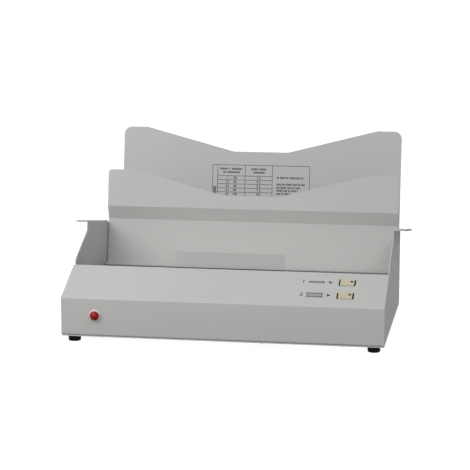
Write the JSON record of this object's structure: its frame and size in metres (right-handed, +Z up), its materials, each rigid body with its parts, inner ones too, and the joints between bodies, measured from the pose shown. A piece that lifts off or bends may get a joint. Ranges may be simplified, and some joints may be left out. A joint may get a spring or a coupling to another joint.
{
  "type": "thermal binding machine",
  "caption": "Desk machine with a sloped key console, a wide heated trough, a leaning notched backrest and a leaning rack behind it, for binding glue-strip covers.",
  "frame": {"origin": "on the table, under the middle of the whole machine", "axes": "+X to the user's right, +Y to the rear, +Z up"},
  "size_m": [0.41, 0.3328, 0.2213],
  "materials": {
    "painted_sheet": "satin powder coat, light grey",
    "deck_coat": "matt heat-resistant coat, dark grey",
    "platen_metal": "satin",
    "plated_steel": "zinc plated",
    "silicone_mat": "matte",
    "fibre_pad": "matte fibre",
    "thermal_parts": "matte",
    "circuit_board": "solder mask",
    "ivory_key": "satin moulded",
    "key_lens": "gloss",
    "black_plastic": "fine texture",
    "white_plastic": "moulded",
    "lamp_ring": "satin",
    "red_lens": "clear faceted",
    "pin_brass": "nickel plated",
    "coil_tape": "tape wrapped",
    "foot_rubber": "matte"
  },
  "bodies": {
    "casing": {"backrest_screws": "plated_steel", "backrest_sheet": "painted_sheet", "base_plate": "painted_sheet", "base_screws": "plated_steel", "board_connectors": "white_plastic", "board_screws": "plated_steel", "board_standoffs": "plated_steel", "buzzer": "black_plastic", "console_screws": "plated_steel", "control_board": "circuit_board", "deck_plate": "deck_coat", "earth_nut": "plated_steel", "earth_stud": "plated_steel", "foot_screws": "plated_steel", "foot_washers": "plated_steel", "front_cover": "painted_sheet", "front_left_foot": "foot_rubber", "front_right_foot": "foot_rubber", "front_stop": "painted_sheet", "heater_mat": "silicone_mat", "heater_platen": "platen_metal", "heater_relay": "black_plastic", "heater_tray": "plated_steel", "heater_tray_nuts": "plated_steel", "inlet_pins": "pin_brass", "inlet_screws": "plated_steel", "insulation_pad": "fibre_pad", "key_switches": "black_plastic", "left_side_plate": "painted_sheet", "pilot_lamp_body": "lamp_ring", "pilot_lamp_lens": "red_lens", "pilot_lamp_nut": "white_plastic", "power_inlet": "black_plastic", "power_switch": "black_plastic", "rack_screws": "plated_steel", "rack_sheet": "painted_sheet", "rear_left_foot": "foot_rubber", "rear_panel": "painted_sheet", "rear_right_foot": "foot_rubber", "right_side_plate": "painted_sheet", "stop_screws": "plated_steel", "thermal_fuse": "thermal_parts", "thermostat": "thermal_parts", "transformer_coil": "coil_tape", "transformer_core": "plated_steel", "transformer_frame": "plated_steel", "transformer_screws": "plated_steel"},
    "upper_key": {"upper_key_cap": "ivory_key", "upper_key_lens": "key_lens"},
    "lower_key": {"lower_key_cap": "ivory_key", "lower_key_lens": "key_lens"},
    "rocker": {"power_rocker": "black_plastic"}
  },
  "joints": [
    {"name": "upper_key_press", "type": "slide", "parent": "casing", "child": "upper_key", "axis": [0, 0.4027, -0.9153], "range_m": [0, 0.0008], "stiffness_N_per_m": 1500},
    {"name": "lower_key_press", "type": "slide", "parent": "casing", "child": "lower_key", "axis": [0, 0.4027, -0.9153], "range_m": [0, 0.0008], "stiffness_N_per_m": 1500},
    {"name": "rocker_tip", "type": "hinge", "parent": "casing", "child": "rocker", "pos_m": [-0.092, 0.08995, 0.03], "axis": [1, 0, 0], "range_deg": [0, 20]}
  ]
}
